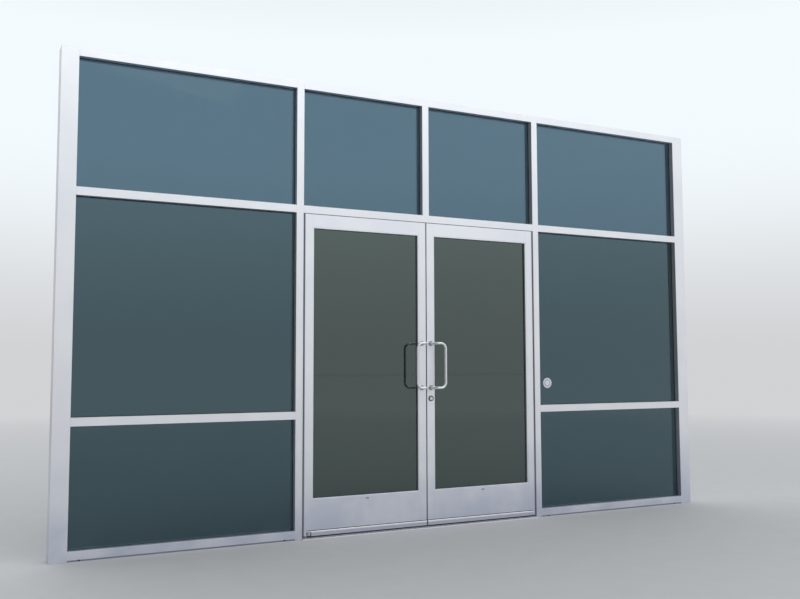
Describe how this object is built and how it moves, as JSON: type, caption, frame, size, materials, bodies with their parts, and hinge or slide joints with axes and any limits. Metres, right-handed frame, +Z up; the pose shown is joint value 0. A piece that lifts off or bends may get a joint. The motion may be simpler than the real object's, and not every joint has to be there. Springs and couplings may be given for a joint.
{
  "type": "glass entrance door",
  "caption": "Pair of outward-swinging narrow-stile glass doors in an aluminium frame with transom lights and sidelights, offset pull handles and a deadbolt.",
  "frame": {"origin": "on the floor, at the middle of the doorway and of the frame's depth: the middle of the threshold's underside", "axes": "+X right along the frame as seen from outside, +Y into the building, +Z up"},
  "size_m": [4.954, 0.206, 3.055],
  "materials": {
    "anodised_aluminium": "clear anodised, satin",
    "mill_aluminium": "worn mill finish",
    "spacer_aluminium": "matt mill finish",
    "hinge_metal": "anodised, in shade grey",
    "hinge_pin_steel": "ground steel",
    "satin_handle": "satin anodised tube",
    "lock_steel": "satin",
    "tinted_glass": "grey-green tinted, reflective",
    "black_rubber": "matt",
    "grey_pile": "dense brush pile"
  },
  "bodies": {
    "frame": {"jamb_left": "anodised_aluminium", "jamb_right": "anodised_aluminium", "mullion_left": "anodised_aluminium", "mullion_right": "anodised_aluminium", "mullion_center": "anodised_aluminium", "head_left": "anodised_aluminium", "head_center": "anodised_aluminium", "head_right": "anodised_aluminium", "transom_left": "anodised_aluminium", "transom_center": "anodised_aluminium", "transom_right": "anodised_aluminium", "rail_left": "anodised_aluminium", "rail_right": "anodised_aluminium", "sill_left": "anodised_aluminium", "sill_right": "anodised_aluminium", "sub_sill": "anodised_aluminium", "door_stops": "anodised_aluminium", "threshold": "mill_aluminium", "lite_top_left": "tinted_glass", "lite_top_center_left": "tinted_glass", "lite_top_center_right": "tinted_glass", "lite_top_right": "tinted_glass", "lite_mid_left": "tinted_glass", "lite_mid_right": "tinted_glass", "lite_low_left": "tinted_glass", "lite_low_right": "tinted_glass", "glass_spacers": "spacer_aluminium", "frame_gaskets": "black_rubber", "weatherstrip": "black_rubber", "hinge_jamb_plates": "hinge_metal", "hinge_pins": "hinge_pin_steel"},
    "left_leaf": {"left_hinge_stile": "anodised_aluminium", "left_meeting_stile": "anodised_aluminium", "left_top_rail": "anodised_aluminium", "left_bottom_rail": "anodised_aluminium", "left_glass_stops": "anodised_aluminium", "left_sweep": "anodised_aluminium", "left_door_glass": "tinted_glass", "left_door_gaskets": "black_rubber", "left_pull_handle": "satin_handle", "left_push_bar": "satin_handle", "left_hinge_door_plate": "hinge_metal", "strike": "lock_steel", "meeting_brush": "grey_pile"},
    "right_leaf": {"right_hinge_stile": "anodised_aluminium", "right_meeting_stile": "anodised_aluminium", "right_top_rail": "anodised_aluminium", "right_bottom_rail": "anodised_aluminium", "right_glass_stops": "anodised_aluminium", "right_sweep": "anodised_aluminium", "right_door_glass": "tinted_glass", "right_door_gaskets": "black_rubber", "right_pull_handle": "satin_handle", "right_push_bar": "satin_handle", "right_hinge_door_plate": "hinge_metal", "lock_case": "lock_steel", "lock_cylinder": "lock_steel"},
    "key_plug": {"key_plug": "lock_steel"},
    "thumbturn": {"thumbturn": "lock_steel"},
    "deadbolt": {"deadbolt": "lock_steel"}
  },
  "joints": [
    {"name": "left_leaf_swing", "type": "hinge", "parent": "frame", "child": "left_leaf", "pos_m": [-0.92375, -0.059, 0], "axis": [0, 0, -1], "range_deg": [0, 105]},
    {"name": "right_leaf_swing", "type": "hinge", "parent": "frame", "child": "right_leaf", "pos_m": [0.92375, -0.059, 0], "axis": [0, 0, 1], "range_deg": [0, 105]},
    {"name": "key_turn", "type": "hinge", "parent": "right_leaf", "child": "key_plug", "pos_m": [0.035, -0.057, 0.9], "axis": [0, -1, 0], "range_deg": [0, 90]},
    {"name": "thumbturn_turn", "type": "hinge", "parent": "right_leaf", "child": "thumbturn", "pos_m": [0.035, -0.012, 0.9], "axis": [0, 1, 0], "range_deg": [0, 90]},
    {"name": "deadbolt_slide", "type": "slide", "parent": "right_leaf", "child": "deadbolt", "axis": [-1, 0, 0], "range_m": [0, 0.016]}
  ],
  "couplings": [
    {"joint": "thumbturn_turn", "follows": "deadbolt_slide", "rad_per_m": 98.1}
  ]
}
